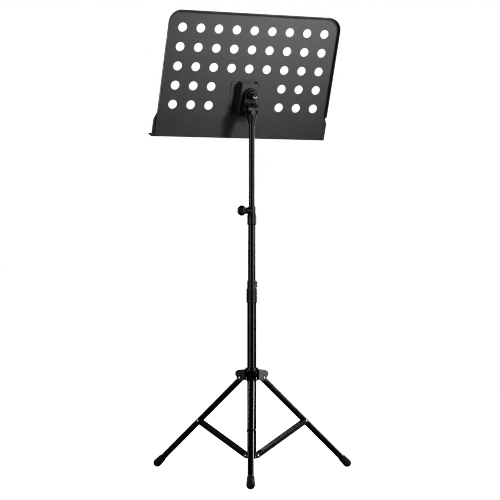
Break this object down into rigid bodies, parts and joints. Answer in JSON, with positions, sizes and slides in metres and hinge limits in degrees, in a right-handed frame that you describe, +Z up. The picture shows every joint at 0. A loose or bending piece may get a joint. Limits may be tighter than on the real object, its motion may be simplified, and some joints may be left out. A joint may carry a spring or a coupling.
{
  "type": "music stand",
  "caption": "Folding music stand with a perforated steel desk on a tilting head, a telescopic column with thumb clutches, and a strutted tripod base.",
  "frame": {"origin": "on the column's axis at floor level", "axes": "+Z up along the column, -Y towards the reader, X across the desk"},
  "size_m": [0.5708, 0.5465, 1.2341],
  "materials": {
    "gloss_paint": "gloss black powder coat",
    "desk_paint": "satin fine-textured black powder coat",
    "black_plastic": "satin moulded nylon",
    "rubber": "matte",
    "bright_steel": "nickel plated",
    "black_steel": "black zinc plated",
    "brass": "turned",
    "nylon": "natural nylon"
  },
  "bodies": {
    "column": {"lower_tube": "gloss_paint", "base_bracket": "black_plastic", "base_rivets": "bright_steel", "lower_clutch": "black_plastic", "lower_screw_insert": "brass", "lower_clamp_pad": "nylon"},
    "strut_a": {"strut_a": "gloss_paint"},
    "strut_b": {"strut_b": "gloss_paint"},
    "strut_c": {"strut_c": "gloss_paint"},
    "leg_a": {"leg_tube_a": "gloss_paint", "leg_plug_a": "black_plastic", "leg_foot_a": "rubber", "leg_rivet_a": "bright_steel"},
    "leg_b": {"leg_tube_b": "gloss_paint", "leg_plug_b": "black_plastic", "leg_foot_b": "rubber", "leg_rivet_b": "bright_steel"},
    "leg_c": {"leg_tube_c": "gloss_paint", "leg_plug_c": "black_plastic", "leg_foot_c": "rubber", "leg_rivet_c": "bright_steel"},
    "hub": {"leg_hub": "gloss_paint", "hub_pin_a": "bright_steel", "hub_rivets_bc": "bright_steel"},
    "lower_thumb_screw": {"lower_knob": "black_plastic", "lower_knob_screw": "bright_steel"},
    "mid_guide": {"mid_bush": "black_plastic"},
    "mid_column": {"mid_tube": "gloss_paint", "upper_clutch": "black_plastic", "upper_screw_insert": "brass", "upper_clamp_pad": "nylon"},
    "upper_thumb_screw": {"upper_knob": "black_plastic", "upper_knob_screw": "bright_steel"},
    "upper_guide": {"upper_bush": "black_plastic"},
    "upper_column": {"upper_tube": "gloss_paint", "head_socket": "black_plastic", "head_set_screw": "bright_steel"},
    "desk": {"tilt_arm": "black_plastic", "tilt_bolt": "black_steel", "tilt_nut": "black_steel", "tilt_washers": "black_steel", "desk_bracket": "desk_paint", "bracket_rivets": "desk_paint", "desk_panel": "desk_paint", "desk_shelf": "desk_paint"},
    "desk_clamp": {"clamp_knob": "black_plastic", "clamp_bolt": "bright_steel", "clamp_cap": "bright_steel"}
  },
  "joints": [
    {"name": "strut_a_fold", "type": "hinge", "parent": "column", "child": "strut_a", "pos_m": [0.00622, 0.01365, 0.0475], "axis": [0.91, -0.4147, 0], "range_deg": [0, 50]},
    {"name": "strut_b_fold", "type": "hinge", "parent": "column", "child": "strut_b", "pos_m": [-0.01493, -0.00144, 0.0475], "axis": [-0.0958, 0.9954, 0], "range_deg": [0, 50]},
    {"name": "strut_c_fold", "type": "hinge", "parent": "column", "child": "strut_c", "pos_m": [0.00871, -0.01221, 0.0475], "axis": [-0.8141, -0.5807, 0], "range_deg": [0, 50]},
    {"name": "leg_a_fold", "type": "hinge", "parent": "strut_a", "child": "leg_a", "pos_m": [0.06949, 0.15248, 0.13413], "axis": [0.91, -0.4147, 0], "range_deg": [-92.6, 0]},
    {"name": "leg_b_fold", "type": "hinge", "parent": "strut_b", "child": "leg_b", "pos_m": [-0.1668, -0.01606, 0.13413], "axis": [-0.0958, 0.9954, 0], "range_deg": [-92.6, 0]},
    {"name": "leg_c_fold", "type": "hinge", "parent": "strut_c", "child": "leg_c", "pos_m": [0.09731, -0.13642, 0.13413], "axis": [-0.8141, -0.5807, 0], "range_deg": [-92.6, 0]},
    {"name": "hub_fold", "type": "hinge", "parent": "leg_a", "child": "hub", "pos_m": [0.01327, 0.02912, 0.25706], "axis": [0.91, -0.4147, 0], "range_deg": [0, 42.6]},
    {"name": "mid_slide", "type": "slide", "parent": "column", "child": "mid_guide", "axis": [0, 0, 1], "range_m": [-0.148, 0.18]},
    {"name": "mid_swivel", "type": "hinge", "parent": "mid_guide", "child": "mid_column", "pos_m": [0, 0, 0.285], "axis": [0, 0, 1], "continuous": true},
    {"name": "upper_slide", "type": "slide", "parent": "mid_column", "child": "upper_guide", "axis": [0, 0, 1], "range_m": [-0.205, 0.17]},
    {"name": "upper_swivel", "type": "hinge", "parent": "upper_guide", "child": "upper_column", "pos_m": [0, 0, 0.495], "axis": [0, 0, 1], "continuous": true},
    {"name": "desk_tilt", "type": "hinge", "parent": "upper_column", "child": "desk", "pos_m": [0, 0, 0.981], "axis": [-1, 0, 0], "range_deg": [-20, 70]},
    {"name": "lower_knob_turn", "type": "hinge", "parent": "column", "child": "lower_thumb_screw", "pos_m": [-0.01408, -0.02649, 0.509], "axis": [-0.4695, -0.8829, 0], "continuous": true},
    {"name": "upper_knob_turn", "type": "hinge", "parent": "mid_column", "child": "upper_thumb_screw", "pos_m": [0.02911, 0.00726, 0.708], "axis": [0.9703, 0.2419, 0], "continuous": true},
    {"name": "clamp_knob_turn", "type": "hinge", "parent": "desk", "child": "desk_clamp", "pos_m": [0, 0.00275, 1.01778], "axis": [0, 0.9397, -0.342], "continuous": true}
  ],
  "couplings": [
    {"joint": "strut_b_fold", "follows": "strut_a_fold", "ratio": 1},
    {"joint": "strut_c_fold", "follows": "strut_a_fold", "ratio": 1},
    {"joint": "leg_a_fold", "follows": "strut_a_fold", "ratio": -1.852},
    {"joint": "leg_b_fold", "follows": "strut_a_fold", "ratio": -1.852},
    {"joint": "leg_c_fold", "follows": "strut_a_fold", "ratio": -1.852},
    {"joint": "hub_fold", "follows": "strut_a_fold", "ratio": 0.852}
  ]
}
